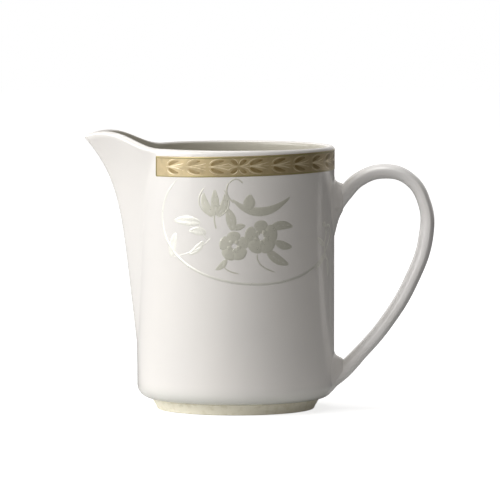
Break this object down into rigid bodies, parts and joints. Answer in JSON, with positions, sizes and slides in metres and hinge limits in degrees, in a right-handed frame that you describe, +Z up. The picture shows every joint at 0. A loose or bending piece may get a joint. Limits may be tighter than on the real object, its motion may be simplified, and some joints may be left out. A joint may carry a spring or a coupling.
{
  "type": "cream jug",
  "caption": "Porcelain cream jug: a straight round body on a foot ring, with a beak lip, a loop handle, a gilt rim band and satin enamel flowers.",
  "frame": {"origin": "centre of the whole jug's footprint box, on the surface it stands on", "axes": "+Z up, +X towards the handle, -X towards the pouring lip, -Y towards the decorated front"},
  "size_m": [0.1253, 0.0722, 0.0996],
  "materials": {
    "glaze": "gloss",
    "slip": "satin",
    "foot": "satin",
    "gilt": "satin",
    "enamel": "satin"
  },
  "bodies": {
    "root": {"body_casting": "glaze", "pouring_lip": "glaze", "handle": "glaze", "upper_luting_slip": "slip", "lower_luting_slip": "slip", "foot_ring": "foot", "gilt_band": "gilt", "front_oval_line": "enamel", "front_scroll": "enamel", "front_flower_spray": "enamel", "front_leaf_sprig": "enamel", "front_bud": "enamel", "front_fronds": "enamel", "back_oval_line": "enamel", "back_scroll": "enamel", "back_flower_spray": "enamel", "back_leaf_sprig": "enamel", "back_bud": "enamel", "back_fronds": "enamel"}
  },
  "joints": []
}
